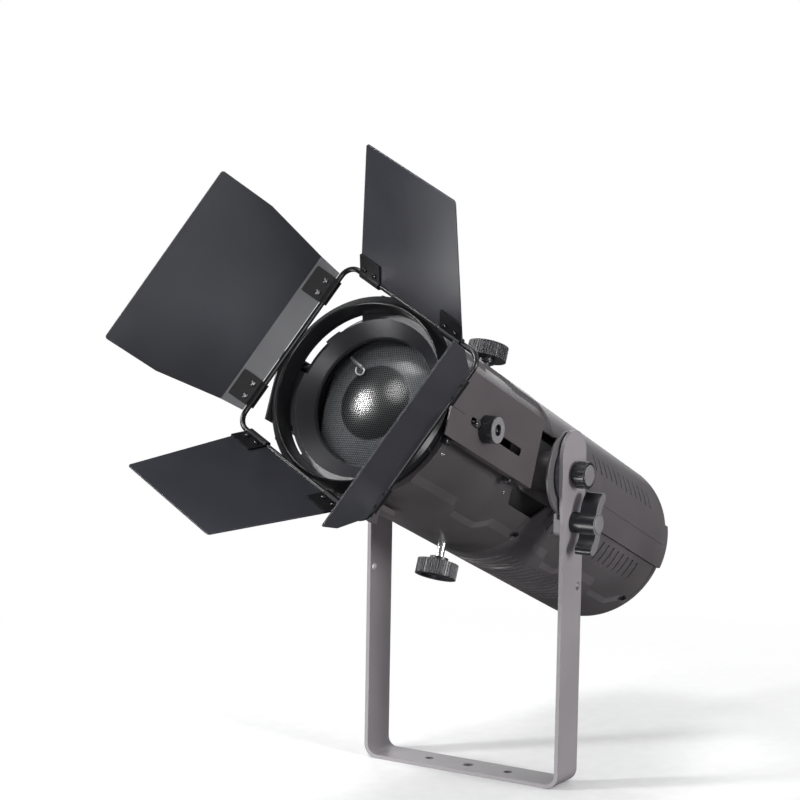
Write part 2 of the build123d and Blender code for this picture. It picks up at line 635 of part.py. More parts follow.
# ---------------------------------------------------------------- barn-door holders on the nose
CLAW_BACK, CLAW_LIP = 213.2, 216.4
CLAW_RADIUS = 94.4
with BuildPart() as front_brackets:
    # two side claws on the side plates and one under the nose, hooked round the ring's flange
    for start, span, back_reach in ((-12, 24, 86.5), (168, 24, 86.5), (256, 28, 86.0)):
        sector(CLAW_BACK - 1.6, CLAW_BACK, CLAW_RADIUS, back_reach, start, span)
        sector(CLAW_BACK, CLAW_LIP, CLAW_RADIUS, RING_RADIUS, start, span)
        sector(CLAW_LIP, CLAW_LIP + 1.4, CLAW_RADIUS, 87.5, start, span)
    box((-16, 16), (-92.0, -87.2), (150, CLAW_BACK))
    # tab with the hole for a safety cable
    box((16, 19), (-108, -87.2), (180, 206))
    with BuildSketch(FLANK.offset(-16)) as eye:
        with Locations((193, -100)):
            Circle(4.5)
    extrude(eye.sketch, amount=-4, mode=Mode.SUBTRACT)
save(front_brackets.part, "front_brackets")

SHELL_SCREWS = [(angle, station) for angle in (-47, 227) for station in (-2, -262)]
with BuildPart() as housing_screws:
    for angle, station in SHELL_SCREWS:
        with BuildSketch(radial_plane(angle, PAD_RADIUS + 0.2)) as heads:
            with Locations((station, 0)):
                Circle(3.0)
        extrude(heads.sketch, amount=1.6)
save(housing_screws.part, "housing_screws")

# ---------------------------------------------------------------- focusing lens
LENS_RADIUS, LENS_FLAT = 66.8, 60.0
LENS_RISE = 18.0             # height of the dome
LENS_RIM = 6.0
CARRIAGE_REAR, CARRIAGE_FRONT = FOCUS_STATION - 12, FOCUS_STATION + 25
CARRIAGE_RADIUS = 70.5
LUG_RADIUS = ROD_RADIUS + 3.2
LENS_BACK = CARRIAGE_FRONT - LENS_RIM
with BuildPart() as lens_carriage:
    tube(CARRIAGE_REAR, CARRIAGE_FRONT, CARRIAGE_RADIUS, LENS_RADIUS + 0.4)
    for angle in ROD_ANGLES:
        centre = (ROD_CIRCLE * cos(radians(angle)), ROD_CIRCLE * sin(radians(angle)))
        rod(NOSE, centre, LUG_RADIUS, CARRIAGE_REAR, CARRIAGE_FRONT)
        rod(NOSE, centre, ROD_RADIUS + PIN_FIT, CARRIAGE_REAR, CARRIAGE_FRONT, Mode.SUBTRACT)
    tube(CARRIAGE_REAR, CARRIAGE_FRONT, LENS_RADIUS + 0.4, 20, Mode.SUBTRACT)
    tube(LENS_BACK - 3, LENS_BACK, LENS_RADIUS + 1, LENS_RADIUS - 3)
    block = (SLOT_LEVEL - 7, SLOT_LEVEL + 7)
    box((CARRIAGE_RADIUS - 2, 74), block, (CARRIAGE_REAR, CARRIAGE_REAR + 20))
save(lens_carriage.part, "lens_carriage")

with BuildPart() as front_lens:
    with BuildSketch(FLANK) as lens_section:
        apex = CARRIAGE_FRONT + LENS_RISE
        with BuildLine():
            Polyline((CARRIAGE_FRONT, LENS_RADIUS), (LENS_BACK, LENS_RADIUS), (LENS_BACK, 0),
                     (apex, 0))
            ThreePointArc((apex, 0), (apex - 3.6, 30.3), (CARRIAGE_FRONT, LENS_RADIUS))
        make_face()
    revolve(lens_section.sketch, axis=OPTICAL_AXIS)
    box((-LENS_FLAT, LENS_FLAT), (-LENS_RADIUS, LENS_RADIUS), (LENS_BACK, apex), Mode.INTERSECT)
save(front_lens.part, "front_lens")

PIN_STATION = FOCUS_STATION + 17
with BuildPart() as focus_stem:
    # threaded stem for the knob, and a guide screw that keeps the stem square in its slot
    rod(FLANK, (FOCUS_STATION, SLOT_LEVEL), 3.2, -74, -104)
    box((74, 76), (SLOT_LEVEL - 6, SLOT_LEVEL + 6), (CARRIAGE_REAR, PIN_STATION + 4))
    rod(FLANK, (PIN_STATION, SLOT_LEVEL), 2.4, -76, -97)
    rod(FLANK, (PIN_STATION, SLOT_LEVEL), 3.6, -97, -98.6)
save(focus_stem.part, "focus_stem")

FOCUS_KNOB_RADIUS, FOCUS_KNOB_HEIGHT = 12.6, 13.0
with BuildPart() as focus_knob:
    fluted_knob(FOCUS_KNOB_RADIUS, FOCUS_KNOB_HEIGHT, 40, 0.55)
    chamfer(focus_knob.faces().sort_by(Axis.Z)[-1].edges(), 0.5)
    with BuildSketch():
        Circle(3.2 + PIN_FIT)
    extrude(amount=8, mode=Mode.SUBTRACT)
    with BuildSketch(Plane.XY.offset(FOCUS_KNOB_HEIGHT)):
        Circle(5.4)
    extrude(amount=-4.5, mode=Mode.SUBTRACT)
knob_seat = Plane(origin=lamp_point(PLATE_FACE + 0.6, SLOT_LEVEL, FOCUS_STATION),
                  x_dir=FORWARD, z_dir=X_AXIS)
save(knob_seat.location * focus_knob.part, "focus_knob")

# ---------------------------------------------------------------- lens-tube lock knobs
LOCK_KNOB_RADIUS, LOCK_KNOB_HEIGHT = 20.0, 14.5
TOP_KNOB_BASE, BOTTOM_KNOB_BASE = 102.5, 105.5
COLLAR = 4.5
THREAD_END = 72.0            # inner end of both threaded stems, from the optical axis


def lock_grip():
    """Knurled knob drawn along +Z from Z=0, with a collar below and a recess in its face."""
    fluted_knob(LOCK_KNOB_RADIUS, LOCK_KNOB_HEIGHT, 48, 0.8)
    with BuildSketch() as collar:
        Circle(9)
    extrude(collar.sketch, amount=-COLLAR)
    for level, radius, depth in ((LOCK_KNOB_HEIGHT, 14.5, 2.2), (LOCK_KNOB_HEIGHT - 2.2, 5, 6)):
        with BuildSketch(Plane.XY.offset(level)) as recess:
            Circle(radius)
        extrude(recess.sketch, amount=-depth, mode=Mode.SUBTRACT)


def lock_seat(side, station, base):
    return Plane(origin=lamp_point(0, side * base, station), x_dir=FORWARD, z_dir=UPWARD * side)


top_seat = lock_seat(1, TOP_KNOB_STATION, TOP_KNOB_BASE)
with BuildPart() as top_knob:
    lock_grip()
    rod(Plane.XY, (0, 0), 6, -COLLAR, PAD_RADIUS + 0.3 - TOP_KNOB_BASE)
    rod(Plane.XY, (0, 0), 4, -COLLAR, THREAD_END - TOP_KNOB_BASE)
save(top_seat.location * top_knob.part, "top_knob")

bottom_seat = lock_seat(-1, BOTTOM_KNOB_STATION, BOTTOM_KNOB_BASE)
with BuildPart() as bottom_knob:
    lock_grip()
save(bottom_seat.location * bottom_knob.part, "bottom_knob")

with BuildPart() as bottom_stem:
    rod(bottom_seat, (0, 0), 4, -COLLAR, THREAD_END - BOTTOM_KNOB_BASE)
save(bottom_stem.part, "bottom_stem")

# ---------------------------------------------------------------- barn door
with BuildPart() as barn_ring:
    # rear flange turned in and out, inner wall, hollow front fold and rolled lip
    turned((214, 80.6), (214, 92.2), (215.6, 92.2), (215.6, 85.6), (230.2, 84.4), (224.4, 91),
           (219, 91), (219, RING_RADIUS), (225.1, RING_RADIUS), (232.6, 84.4),
           (233, 83.4), (232.4, LIP_RADIUS))
    # six bumps pressed out of the hoop
    for angle in range(0, 360, 60):
        with BuildSketch(radial_plane(angle + DOOR_TURN + 118, RING_RADIUS - 0.4)) as bump:
            with Locations((221.6, 0)):
                Circle(2.2)
        extrude(bump.sketch, amount=1.6)
save(barn_ring.part, "barn_ring")

door_across = X_AXIS * cos(radians(DOOR_TURN)) + UPWARD * sin(radians(DOOR_TURN))
DOOR = Plane(origin=PIVOT + FORWARD * WIRE_STATION, x_dir=door_across, z_dir=FORWARD)
WIRE_BEND = 13.0
with BuildPart() as barn_frame:
    with BuildLine(DOOR) as loop:
        FilletPolyline((-WIRE_HALF, WIRE_HALF), (WIRE_HALF, WIRE_HALF), (WIRE_HALF, -WIRE_HALF),
                       (-WIRE_HALF, -WIRE_HALF), radius=WIRE_BEND, close=True)
    with BuildSketch(Plane(origin=loop.line @ 0, z_dir=loop.line % 0)):
        Circle(WIRE_RADIUS)
    sweep(path=loop.line)
save(barn_frame.part, "barn_frame")

STRIP_START, STRIP_WIDTH = 2.9, 25.3
LARGE_LENGTH, SMALL_LENGTH = 149.2, 146.9
# outlines are (distance from the hinge, half width)
LARGE_OUTLINE = [(STRIP_START, 76.7), (STRIP_WIDTH, 79.7), (92.0, 91.0), (LARGE_LENGTH, 91.3)]
SMALL_OUTLINE = [(STRIP_START, 68.0), (SMALL_LENGTH, 56.8)]
OUTER_CORNER, INNER_CORNER = 3.0, 5.0
PLATE_LONG, PLATE_DEEP, PLATE_GAUGE = 27.0, 21.0, 1.5
BARREL_RADIUS = 4.2
SCREW_SPACING, SCREW_OUT = 13.0, 9.0
SCREW_RADIUS, SCREW_HEAD_RADIUS, SCREW_HEAD = 1.5, 2.7, 1.7
# name, hinge side turned from +x of the door, opening angle of the panel, bend between a
# large leaf's strip and its panel (small leaves are flat), and shift along the hinge
LEAVES = (("left", 180, 30.4, 20.4, 0.0), ("top", 90, 39.3, None, -4.0),
          ("bottom", 270, 30.7, None, 4.0), ("right", 0, 23.5, 1.5, 5.0))


def leaf_plane(side_angle, opening):
    """Plane of a leaf at its hinge: x along the hinge, y out along the leaf."""
    outward = (DOOR.x_dir * cos(radians(side_angle)) + DOOR.y_dir * sin(radians(side_angle)))
    along = outward.cross(FORWARD)
    inward = FORWARD * sin(radians(opening)) - outward * cos(radians(opening))
    return Plane(origin=DOOR.origin + outward * WIRE_HALF, x_dir=along, z_dir=inward)


def shifted(plane, along, out=0.0):
    return Plane(origin=plane.origin + plane.x_dir * along + plane.y_dir * out,
                 x_dir=plane.x_dir, z_dir=plane.z_dir)


def outline_face(plane, outline):
    """Leaf outline with its four corners rounded."""
    points = outline + [(out, -half) for out, half in reversed(outline)]
    with BuildSketch(plane) as sheet:
        with BuildLine():
            Polyline(*[(half, out) for out, half in points], close=True)
        make_face()
        outer = [v for v in sheet.vertices() if abs(v.Y - outline[-1][0]) < 0.01]
        inner = [v for v in sheet.vertices() if abs(v.Y - outline[0][0]) < 0.01]
        fillet(outer, OUTER_CORNER)
        fillet(inner, INNER_CORNER)
    return sheet.sketch


def bent_leaf(root, panel, bend):
    """Large leaf: a strip along the hinge, then a panel folded up from it by bend radians."""
    profile = Plane(origin=root.origin, x_dir=root.y_dir, z_dir=root.x_dir * -1)
    run = LARGE_LENGTH - STRIP_WIDTH
    turn = 1 if profile.to_local_coords(root.origin + root.z_dir).Y < 0 else -1
    with BuildSketch(profile) as bent:
        with BuildLine():
            Polyline((STRIP_START, 0), (STRIP_WIDTH, 0),
                     (STRIP_WIDTH + run * cos(bend), -turn * run * sin(bend)))
        trace(line_width=SHEET)
    extrude(bent.sketch, amount=LARGE_OUTLINE[-1][1] + 4, both=True)
    crease = shifted(root, 0, STRIP_WIDTH)
    flat = Plane(origin=crease.origin - panel.y_dir * STRIP_WIDTH,
                 x_dir=panel.x_dir, z_dir=panel.z_dir)
    first = STRIP_WIDTH - (STRIP_WIDTH - STRIP_START) * cos(bend)
    outline = [(first, LARGE_OUTLINE[0][1])] + LARGE_OUTLINE[1:]
    extrude(outline_face(flat, outline), amount=30, both=True, mode=Mode.INTERSECT)


def flat_leaf(panel):
    extrude(outline_face(panel, SMALL_OUTLINE), amount=SHEET / 2, both=True)


def barrel_plane(root, centre):
    """Plane across a hinge barrel at its near end."""
    return Plane(origin=root.origin + root.x_dir * (centre - PLATE_LONG / 2 + 1),
                 x_dir=root.y_dir, z_dir=root.x_dir)


def barrel_notch(root, centre):
    rod(barrel_plane(root, centre), (0, 0), BARREL_RADIUS + 0.1, -0.5, PLATE_LONG - 1.5,
        Mode.SUBTRACT)


def screw_holes(root, points):
    with BuildSketch(root) as drill:
        with Locations(*points):
            Circle(SCREW_RADIUS + 0.1)
    extrude(drill.sketch, amount=6, both=True, mode=Mode.SUBTRACT)


def hinge(root, centre):
    """Plate screwed to the leaf, with a barrel that turns on the wire frame."""
    with BuildSketch(root.offset(SHEET / 2)) as plate:
        with Locations((centre, PLATE_DEEP / 2 + 2)):
            RectangleRounded(PLATE_LONG, PLATE_DEEP, 1.5)
    extrude(plate.sketch, amount=PLATE_GAUGE)
    barrel = barrel_plane(root, centre)
    rod(barrel, (0, 0), BARREL_RADIUS, 0, PLATE_LONG - 2)
    rod(barrel, (0, 0), WIRE_RADIUS + PIN_FIT, -3, PLATE_LONG + 1, Mode.SUBTRACT)


def hinge_centres(large, shift):
    half = LARGE_OUTLINE[0][1] - 5 if large else SMALL_OUTLINE[0][1]
    return [shift + side * (half - PLATE_LONG / 2 - 0.5) for side in (1, -1)]


for name, side_angle, opening, bend, shift in LEAVES:
    large = bend is not None
    panel = leaf_plane(side_angle, opening)
    root = leaf_plane(side_angle, opening + bend) if large else panel
    centres = hinge_centres(large, shift)
    screw_points = [(centre + step, SCREW_OUT) for centre in centres
                    for step in (-SCREW_SPACING / 2, SCREW_SPACING / 2)]

    with BuildPart() as leaf:
        if large:
            bent_leaf(shifted(root, shift), shifted(panel, shift), radians(bend))
        else:
            flat_leaf(shifted(panel, shift))
        for centre in centres:
            barrel_notch(root, centre)
        screw_holes(root, screw_points)
    save(leaf.part, f"leaf_{name}")

    with BuildPart() as hinges:
        for centre in centres:
            hinge(root, centre)
        screw_holes(root, screw_points)
    save(hinges.part, f"hinges_{name}")

    with BuildPart() as screws:
        plate_top = SHEET / 2 + PLATE_GAUGE
        for point in screw_points:
            rod(root, point, SCREW_RADIUS, -SHEET / 2 - 1.2, plate_top)
            rod(root, point, SCREW_HEAD_RADIUS, plate_top, plate_top + SCREW_HEAD)
    save(screws.part, f"screws_{name}")
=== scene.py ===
import json
from math import cos, hypot, pi, radians, sin, sqrt

import bmesh
import bpy
from mathutils import Matrix, Vector


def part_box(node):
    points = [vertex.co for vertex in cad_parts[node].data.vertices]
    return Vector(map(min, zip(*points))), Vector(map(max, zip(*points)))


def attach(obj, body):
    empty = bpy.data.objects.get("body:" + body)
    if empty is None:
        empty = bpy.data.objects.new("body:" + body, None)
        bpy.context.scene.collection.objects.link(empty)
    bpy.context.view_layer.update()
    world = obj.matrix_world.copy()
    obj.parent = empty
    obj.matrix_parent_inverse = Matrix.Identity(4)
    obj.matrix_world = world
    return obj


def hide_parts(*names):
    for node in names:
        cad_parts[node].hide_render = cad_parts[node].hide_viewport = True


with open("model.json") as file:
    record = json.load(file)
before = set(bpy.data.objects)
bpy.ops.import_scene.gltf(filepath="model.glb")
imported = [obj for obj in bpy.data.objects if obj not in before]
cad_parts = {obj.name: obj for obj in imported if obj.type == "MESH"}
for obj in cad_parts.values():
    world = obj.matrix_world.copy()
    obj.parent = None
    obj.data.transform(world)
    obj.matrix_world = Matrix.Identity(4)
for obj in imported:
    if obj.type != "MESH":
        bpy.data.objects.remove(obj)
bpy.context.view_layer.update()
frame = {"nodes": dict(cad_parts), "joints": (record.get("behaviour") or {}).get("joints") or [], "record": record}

# ---------------------------------------------------------------- frame of reference (metres)
MM = 0.001
LEAF_SIDES = ("left", "top", "bottom", "right")
JOINTS = {joint["name"]: joint for joint in frame["joints"]}
SLOT_OF = {part["node"]: part["material_slot"] for part in frame["record"]["subparts"]}
PIVOT = Vector(JOINTS["tilt"]["pos_m"])
ACROSS = Vector((1, 0, 0))
FORWARD = Vector(JOINTS["focus_slide"]["axis"]).normalized()
UPWARD = FORWARD.cross(ACROSS)


def lamp_point(across, up, forward):
    """Point given in millimetres from the tilt axis, along the lamp's own directions."""
    return PIVOT + (ACROSS * across + UPWARD * up + FORWARD * forward) * MM


def lamp_span(node, direction):
    """Lowest and highest reach of a CAD node along a direction, in millimetres from the pivot."""
    reach = [(vertex.co - PIVOT).dot(direction) / MM for vertex in frame["nodes"][node].data.vertices]
    return min(reach), max(reach)


def placed(origin, z_dir, x_dir=ACROSS):
    """Matrix that puts local +Z along z_dir."""
    z_dir = z_dir.normalized()
    y_dir = z_dir.cross(x_dir).normalized()
    matrix = Matrix((y_dir.cross(z_dir), y_dir, z_dir)).transposed().to_4x4()
    matrix.translation = origin
    return matrix


# ---------------------------------------------------------------- node graphs
BEVEL_SAMPLES = 4
ON_EDGE = (0.985, 0.80)     # cosine between the rounded and the plain normal, from face to sharp edge
LOOKS_ALONG = 0.9           # smallest cosine at which a face counts as looking along a direction


class Graph:
    """A material's node tree, built up step by step."""

    def __init__(self, name):
        self.material = bpy.data.materials.new(name)
        self.material.use_nodes = True
        self.tree = self.material.node_tree
        self.shader = self.tree.nodes["Principled BSDF"]
        self.place = self.tree.nodes.new("ShaderNodeTexCoord").outputs["Object"]

    def node(self, kind, **settings):
        made = self.tree.nodes.new(kind)
        for key, value in settings.items():
            setattr(made, key, value)
        return made

    def wire(self, source, target):
        if hasattr(source, "is_output"):
            self.tree.links.new(source, target)
        else:
            target.default_value = source

    def noise(self, scale, detail=3.0, stretch=(1, 1, 1)):
        mapping = self.node("ShaderNodeMapping")
        mapping.inputs["Scale"].default_value = stretch
        self.wire(self.place, mapping.inputs["Vector"])
        noise = self.node("ShaderNodeTexNoise")
        noise.inputs["Scale"].default_value = scale
        noise.inputs["Detail"].default_value = detail
        self.wire(mapping.outputs["Vector"], noise.inputs["Vector"])
        return noise.outputs["Fac"]

    def maths(self, operation, first, second=0.0):
        made = self.node("ShaderNodeMath", operation=operation)
        self.wire(first, made.inputs[0])
        self.wire(second, made.inputs[1])
        return made.outputs["Value"]

    def spread(self, value, low, high, to_low=0.0, to_high=1.0):
        made = self.node("ShaderNodeMapRange", clamp=True)
        for socket, number in zip(("Value", "From Min", "From Max", "To Min", "To Max"),
                                  (value, low, high, to_low, to_high)):
            self.wire(number, made.inputs[socket])
        return made.outputs["Result"]

    def blend(self, amount, first, second):
        made = self.node("ShaderNodeMix", data_type="RGBA")
        self.wire(amount, made.inputs["Factor"])
        for socket, colour in ((made.inputs[6], first), (made.inputs[7], second)):
            self.wire(colour if hasattr(colour, "is_output") else (*colour, 1), socket)
        return made.outputs[2]

    def vectors(self, operation, first, second=None):
        """Maths on vectors; a dot product and a length come out as a single value."""
        made = self.node("ShaderNodeVectorMath", operation=operation)
        self.wire(first, made.inputs[0])
        if second is not None:
            self.wire(second, made.inputs[1])
        return made.outputs["Value" if operation in ("DOT_PRODUCT", "LENGTH") else "Vector"]

    def rounded(self, radius):
        """Normal with its edges rounded over, and how strongly a point is on an edge."""
        bevel = self.node("ShaderNodeBevel", samples=BEVEL_SAMPLES).outputs["Normal"]
        bevel.node.inputs["Radius"].default_value = radius
        plain = self.node("ShaderNodeNewGeometry").outputs["Normal"]
        return bevel, self.spread(self.vectors("DOT_PRODUCT", bevel, plain), *ON_EDGE)

    def bump(self, height, strength, distance, normal=None):
        made = self.node("ShaderNodeBump")
        made.inputs["Strength"].default_value = strength
        made.inputs["Distance"].default_value = distance
        self.wire(height, made.inputs["Height"])
        if normal:
            self.wire(normal, made.inputs["Normal"])
        return made.outputs["Normal"]

    def facing(self, direction, level):
        """1 on flat faces that look along a direction and lie beyond a level along it."""
        normal = self.node("ShaderNodeNewGeometry").outputs["True Normal"]
        own = self.node("ShaderNodeVectorTransform", vector_type="NORMAL",
                        convert_from="WORLD", convert_to="OBJECT")
        self.wire(normal, own.inputs[0])
        likeness = self.vectors("DOT_PRODUCT", own.outputs[0], direction)
        looks = self.maths("GREATER_THAN", likeness, LOOKS_ALONG)
        height = self.vectors("DOT_PRODUCT", self.place, direction)
        return self.maths("MULTIPLY", looks, self.maths("GREATER_THAN", height, level))

    def finish(self, colour, roughness, normal):
        self.wire(colour, self.shader.inputs["Base Color"])
        self.wire(roughness, self.shader.inputs["Roughness"])
        self.wire(normal, self.shader.inputs["Normal"])
        return self.material


def tone(colour, factor):
    return tuple(channel * factor for channel in colour)


def coat(name, colour, roughness, edge_colour=None, edge=0.5, grain=0.25, grain_scale=1500,
         mottle=0.12, specular=0.5, radius=0.5, face=None):
    """Paint or moulded plastic: fine grain, uneven tone, and edges rounded by radius (mm) and lightened, partly as
    wear and partly as a painted highlight.
    face is (direction, level in metres, colour) for a painted sheen: flat faces looking along the direction,
    beyond the level, are painted in that lighter colour as if lit."""
    graph = Graph(name)
    broad = graph.noise(16, 3)                  # unevenness over some centimetres
    edge_patches = graph.noise(90, 5)                 # patches along the edges where they are lightened, as wear and as painted highlight
    fine = graph.noise(grain_scale, 2)          # grain of the coat
    tint = graph.blend(graph.spread(broad, 0.35, 0.65), tone(colour, 1 - mottle),
                       tone(colour, 1 + mottle))
    tint = graph.blend(graph.spread(fine, 0.42, 0.7, 0, 0.5), tint, tone(colour, 1.3))
    # faces towards the key light painted in a lighter speckled colour: a painted sheen
    if face:
        direction, level, second = face
        speckled_sheen = graph.blend(graph.spread(fine, 0.45, 0.6), tone(second, 0.72),
                               tone(second, 1.25))
        tint = graph.blend(graph.facing(direction, level), tint, speckled_sheen)
    normal, on_edge = graph.rounded(radius * MM)
    # edges lightened towards edge_colour: partly wear, partly a painted highlight along them
    wear_and_highlight = graph.maths("MULTIPLY", on_edge, graph.spread(edge_patches, 0.35, 0.65, edge * 0.4, edge))
    tint = graph.blend(wear_and_highlight, tint, edge_colour or tone(colour, 3))
    rough = graph.spread(broad, 0.3, 0.7, roughness - 0.015, roughness + 0.025)
    graph.shader.inputs["Specular IOR Level"].default_value = specular
    return graph.finish(tint, rough, graph.bump(fine, grain, 0.00025, normal))


def metal(name, colour, roughness, stretch=(1, 1, 1), radius=0.3):
    """Bare metal with fine brushing along one direction and dull spots, with a painted highlight lightening its
    rounded edges.
    """
    graph = Graph(name)
    brush = graph.noise(700, 4, stretch)
    spots = graph.noise(180, 5)
    tint = graph.blend(graph.spread(brush, 0.3, 0.7), tone(colour, 0.78), tone(colour, 1.12))
    tint = graph.blend(graph.spread(spots, 0.55, 0.75, 0, 0.5), tint, tone(colour, 0.5))
    normal, on_edge = graph.rounded(radius * MM)
    # rounded edges painted lighter: a painted highlight
    tint = graph.blend(graph.maths("MULTIPLY", on_edge, 0.5), tint, tone(colour, 1.3))
    graph.shader.inputs["Metallic"].default_value = 1.0
    rough = graph.spread(brush, 0.25, 0.75, roughness - 0.07, roughness + 0.1)
    return graph.finish(tint, rough, graph.bump(brush, 0.15, 0.00012, normal))


GLASS_IOR = 1.5
SHADED_MIDDLE_RADIUS, LIT_RING_RADIUS = 34.0, 36.5       # dark with painted shade inside, pale outside as painted light of the parts behind the glass, mm from the axis


def glass(name, colour, roughness):
    """Clear moulded glass with faint ripple and dust."""
    graph = Graph(name)
    dust = graph.noise(260, 6)
    ripple = graph.noise(45, 2)
    graph.shader.inputs["Transmission Weight"].default_value = 1.0
    graph.shader.inputs["IOR"].default_value = GLASS_IOR
    tint = graph.blend(graph.spread(dust, 0.5, 0.8), colour, tone(colour, 0.82))
    rough = graph.spread(dust, 0.45, 0.75, roughness, roughness + 0.12)
    return graph.finish(tint, rough, graph.bump(ripple, 0.05, 0.0004))


def moulded_glass():
    """Lens glass moulded in pillows: painted dark in the middle as painted shade of the lamp's inside, painted
    pale outside the inner aperture as painted light of the parts behind the glass, and painted near black in the
    grooves as painted shade.
    """
    graph = Graph("moulded_glass")
    offset = graph.vectors("SUBTRACT", graph.place, PIVOT)
    from_axis = graph.vectors("LENGTH", graph.vectors("CROSS_PRODUCT", offset, FORWARD))
    lit_ring = graph.spread(from_axis, SHADED_MIDDLE_RADIUS * MM, LIT_RING_RADIUS * MM)
    # dark middle as painted shade; pale ring as painted light standing in for lit parts behind the glass
    tint = graph.blend(lit_ring, (0.02, 0.023, 0.026), (0.42, 0.44, 0.46))
    pillow = graph.node("ShaderNodeAttribute", attribute_name="pillow").outputs["Fac"]
    dust = graph.noise(260, 6)
    tint = graph.blend(graph.spread(dust, 0.5, 0.8, 0, 0.5), tint, (0.02, 0.02, 0.02))
    # grooves between pillows painted near black: painted shade in the grooves
    tint = graph.blend(graph.spread(pillow, 0.25, 0.85), (0.006, 0.007, 0.008), tint)
    graph.shader.inputs["Transmission Weight"].default_value = 0.45
    graph.shader.inputs["IOR"].default_value = GLASS_IOR
    rough = graph.spread(pillow, 0.2, 0.75, 0.32, 0.09)       # grooves dull, crowns clear
    return graph.finish(tint, rough, graph.bump(dust, 0.03, 0.0002))


def circuit_board():
    """Green lacquer over copper runs, with a pale silkscreen."""
    graph = Graph("board_lacquer")
    turn = graph.node("ShaderNodeMapping")
    turn.inputs["Rotation"].default_value = (pi / 2, 0, 0)
    graph.wire(graph.place, turn.inputs["Vector"])
    runs = graph.node("ShaderNodeTexBrick", offset=0.35)
    for socket, number in (("Scale", 160), ("Mortar Size", 0.03), ("Brick Width", 1.6)):
        runs.inputs[socket].default_value = number
    graph.wire(turn.outputs["Vector"], runs.inputs["Vector"])
    tint = graph.blend(runs.outputs["Fac"], (0.012, 0.06, 0.03), (0.05, 0.16, 0.07))
    normal, _ = graph.rounded(0.2 * MM)
    rough = graph.spread(graph.noise(300, 3), 0.3, 0.7, 0.25, 0.45)
    return graph.finish(tint, rough, graph.bump(runs.outputs["Fac"], 0.2, 0.0001, normal))


def phosphor():
    """Yellow phosphor dots in a grid on a white board."""
    graph = Graph("led_phosphor")
    cells = graph.node("ShaderNodeTexVoronoi", feature="F1")
    cells.inputs["Scale"].default_value = 420
    cells.inputs["Randomness"].default_value = 0.1
    graph.wire(graph.place, cells.inputs["Vector"])
    dots = graph.spread(cells.outputs["Distance"], 0.35, 0.5)
    tint = graph.blend(dots, (0.85, 0.66, 0.12), (0.7, 0.68, 0.6))
    normal, _ = graph.rounded(0.2 * MM)
    return graph.finish(tint, 0.4, graph.bump(dots, 0.3, 0.0002, normal))


def friction_fibre():
    """Pressed black fibre, with short pale strands in it."""
    graph = Graph("washer_fibre")
    strands = graph.noise(900, 6, (1, 0.2, 2.2))
    tint = graph.blend(graph.spread(strands, 0.5, 0.72), (0.006, 0.007, 0.010),
                       (0.045, 0.047, 0.055))
    normal, _ = graph.rounded(0.35 * MM)
    rough = graph.spread(strands, 0.3, 0.7, 0.3, 0.5)
    return graph.finish(tint, rough, graph.bump(strands, 0.4, 0.0003, normal))


# ---------------------------------------------------------------- finishes
KNOB_GREY = (0.135, 0.128, 0.135)
KNOB_BLACK = (0.011, 0.011, 0.014)
KNOB_EDGE = (0.05, 0.05, 0.055)
KNOB_GRAIN = 1100
FACE_DEPTH = 0.6            # how deep below a knob's outermost face its painted grey sheen reaches, mm


def outer_face(node, direction):
    """Level just below a node's outermost face, for the painted sheen on it."""
    reach = [vertex.co.dot(direction) for vertex in frame["nodes"][node].data.vertices]
    return max(reach) - FACE_DEPTH * MM


# one finish for each material slot: name, colour, roughness
# edge_colour: the lighter colour of the edges, partly wear and partly a painted highlight
FINISHES = {
    "yoke_paint": coat("yoke_powder_coat", (0.190, 0.177, 0.187), 0.42, grain=0.5, mottle=0.06,
                       edge=0.35, edge_colour=(0.3, 0.29, 0.3)),
    "body_paint": coat("body_powder_coat", (0.050, 0.0455, 0.048), 0.40, grain=0.3, mottle=0.14),
    "plate_paint": coat("plate_powder_coat", (0.056, 0.049, 0.052), 0.38, grain=0.3, mottle=0.1,
                        edge=0.6, edge_colour=(0.26, 0.24, 0.25)),
    "door_paint": coat("door_powder_coat", (0.025, 0.0255, 0.032), 0.30, grain=0.22, mottle=0.08,
                       edge=0.9, edge_colour=(0.42, 0.42, 0.46), radius=0.45),
    "ring_paint": coat("ring_enamel", (0.007, 0.007, 0.008), 0.24, grain=0.1, mottle=0.15,
                       edge=0.4, edge_colour=(0.05, 0.05, 0.054), radius=0.6, specular=0.35),
    "black_plastic": coat("knob_plastic", KNOB_BLACK, 0.30, grain=0.35, mottle=0.15,
                          grain_scale=KNOB_GRAIN, edge=0.4, edge_colour=KNOB_EDGE),
    "grey_plastic": coat("cap_plastic", KNOB_GREY, 0.42, grain=0.3, grain_scale=KNOB_GRAIN,
                         edge=0.5, edge_colour=(0.3, 0.3, 0.31)),
    "steel": metal("zinc_plate", (0.60, 0.60, 0.59), 0.26),
    "aluminium": metal("bare_aluminium", (0.66, 0.66, 0.67), 0.36, (1, 6, 1)),
    "lens_glass": glass("clear_glass", (0.92, 0.95, 0.97), 0.03),
    "moulded": moulded_glass(),
    "board": circuit_board(),
    "led": phosphor(),
    "fibre": friction_fibre(),
}
BEZEL = coat("bezel_powder_coat", (0.018, 0.018, 0.022), 0.36, grain=0.2, mottle=0.08,
             edge=0.5, edge_colour=(0.1, 0.1, 0.11))
HINGE_BLACK = coat("hinge_black", (0.005, 0.005, 0.006), 0.42, grain=0.2, mottle=0.2,
                   edge=0.5, edge_colour=(0.10, 0.10, 0.105), radius=0.35, specular=0.2)
DARK_METAL = metal("black_oxide", (0.035, 0.035, 0.037), 0.38)
INNER_BLACK = coat("inner_flat_black", (0.008, 0.008, 0.009), 0.55, mottle=0.2,
                   edge_colour=(0.03, 0.03, 0.03))
SCREW_STEEL = metal("screw_steel", (0.42, 0.42, 0.43), 0.2, radius=0.15)
